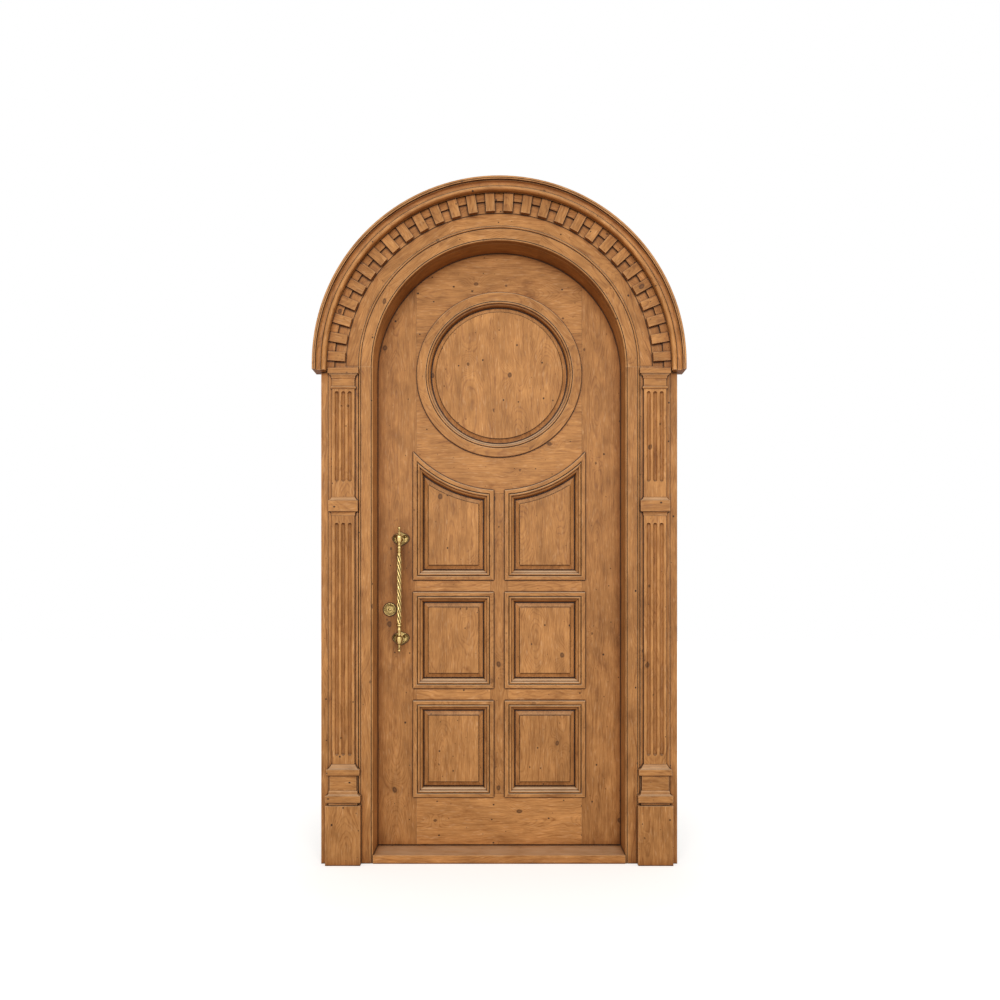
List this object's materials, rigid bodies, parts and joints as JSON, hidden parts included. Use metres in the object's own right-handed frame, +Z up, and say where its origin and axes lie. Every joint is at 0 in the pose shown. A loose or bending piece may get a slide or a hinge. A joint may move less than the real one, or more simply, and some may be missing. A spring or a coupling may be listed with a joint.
{
  "type": "arched entrance door with frame",
  "caption": "Round-arched panelled wooden entrance door in its frame, with fluted pilasters, a dentilled arch and cornice, a roundel, raised panels and a twisted brass pull.",
  "frame": {"origin": "on the floor under the sill, in the middle of the doorway, at the plane of the wall's outer face", "axes": "+X to the right seen from outside, +Y into the house, +Z up"},
  "size_m": [1.46, 0.29, 2.698],
  "materials": {
    "pine_frame": "waxed antique pine",
    "pine_leaf": "waxed antique pine",
    "pine_panel": "waxed antique pine",
    "pine_moulding": "waxed antique pine",
    "aged_brass": "aged brass, worn bright on the high parts",
    "lock_steel": "brushed"
  },
  "bodies": {
    "frame": {"left_jamb": "pine_frame", "right_jamb": "pine_frame", "arch_head": "pine_frame", "sill": "pine_frame", "left_casing": "pine_frame", "right_casing": "pine_frame", "arch_fascia": "pine_frame", "dentil_band": "pine_frame", "dentils": "pine_frame", "arch_cornice": "pine_frame", "left_plinth": "pine_frame", "right_plinth": "pine_frame", "left_base": "pine_frame", "right_base": "pine_frame", "left_lower_shaft": "pine_frame", "right_lower_shaft": "pine_frame", "left_waist_block": "pine_frame", "right_waist_block": "pine_frame", "left_upper_shaft": "pine_frame", "right_upper_shaft": "pine_frame", "left_capital": "pine_frame", "right_capital": "pine_frame", "strike_plate": "aged_brass", "hinge_frame_plates": "aged_brass", "hinge_pins": "aged_brass"},
    "leaf": {"lock_stile": "pine_leaf", "hinge_stile": "pine_leaf", "crown_rail": "pine_leaf", "roundel_boards": "pine_leaf", "belly_rail": "pine_leaf", "muntin": "pine_leaf", "cross_rails": "pine_leaf", "bottom_rail": "pine_leaf", "upper_left_panel": "pine_panel", "upper_right_panel": "pine_panel", "middle_left_panel": "pine_panel", "middle_right_panel": "pine_panel", "lower_left_panel": "pine_panel", "lower_right_panel": "pine_panel", "round_panel": "pine_panel", "upper_left_moulding": "pine_moulding", "upper_right_moulding": "pine_moulding", "middle_left_moulding": "pine_moulding", "middle_right_moulding": "pine_moulding", "lower_left_moulding": "pine_moulding", "lower_right_moulding": "pine_moulding", "roundel_ring": "pine_moulding", "inner_beads": "pine_moulding", "hinge_leaf_plates": "aged_brass", "pull_grip": "aged_brass", "pull_plates": "aged_brass", "inner_pull": "aged_brass", "key_rose": "aged_brass", "lock_case": "lock_steel", "lock_cylinder": "aged_brass", "inner_rose": "aged_brass"},
    "cover": {"key_cover": "aged_brass"},
    "bolt": {"dead_bolt": "lock_steel"},
    "roller": {"roller_catch": "lock_steel"},
    "turn": {"thumb_turn": "aged_brass"}
  },
  "joints": [
    {"name": "leaf_swing", "type": "hinge", "parent": "frame", "child": "leaf", "pos_m": [0.5115, 0.1555, 0], "axis": [0, 0, -1], "range_deg": [0, 105]},
    {"name": "cover_swing", "type": "hinge", "parent": "leaf", "child": "cover", "pos_m": [-0.449, 0.087, 1.023], "axis": [0, 1, 0], "range_deg": [-110, 110]},
    {"name": "thumb_turning", "type": "hinge", "parent": "leaf", "child": "turn", "pos_m": [-0.449, 0.155, 1.004], "axis": [0, 1, 0], "range_deg": [0, 360]},
    {"name": "bolt_throw", "type": "slide", "parent": "leaf", "child": "bolt", "axis": [-1, 0, 0], "range_m": [0, 0.02]},
    {"name": "roller_press", "type": "slide", "parent": "leaf", "child": "roller", "axis": [1, 0, 0], "range_m": [0, 0.003], "stiffness_N_per_m": 4000, "springref_m": -0.002}
  ],
  "couplings": [
    {"joint": "thumb_turning", "follows": "bolt_throw", "rad_per_m": 314.16}
  ]
}
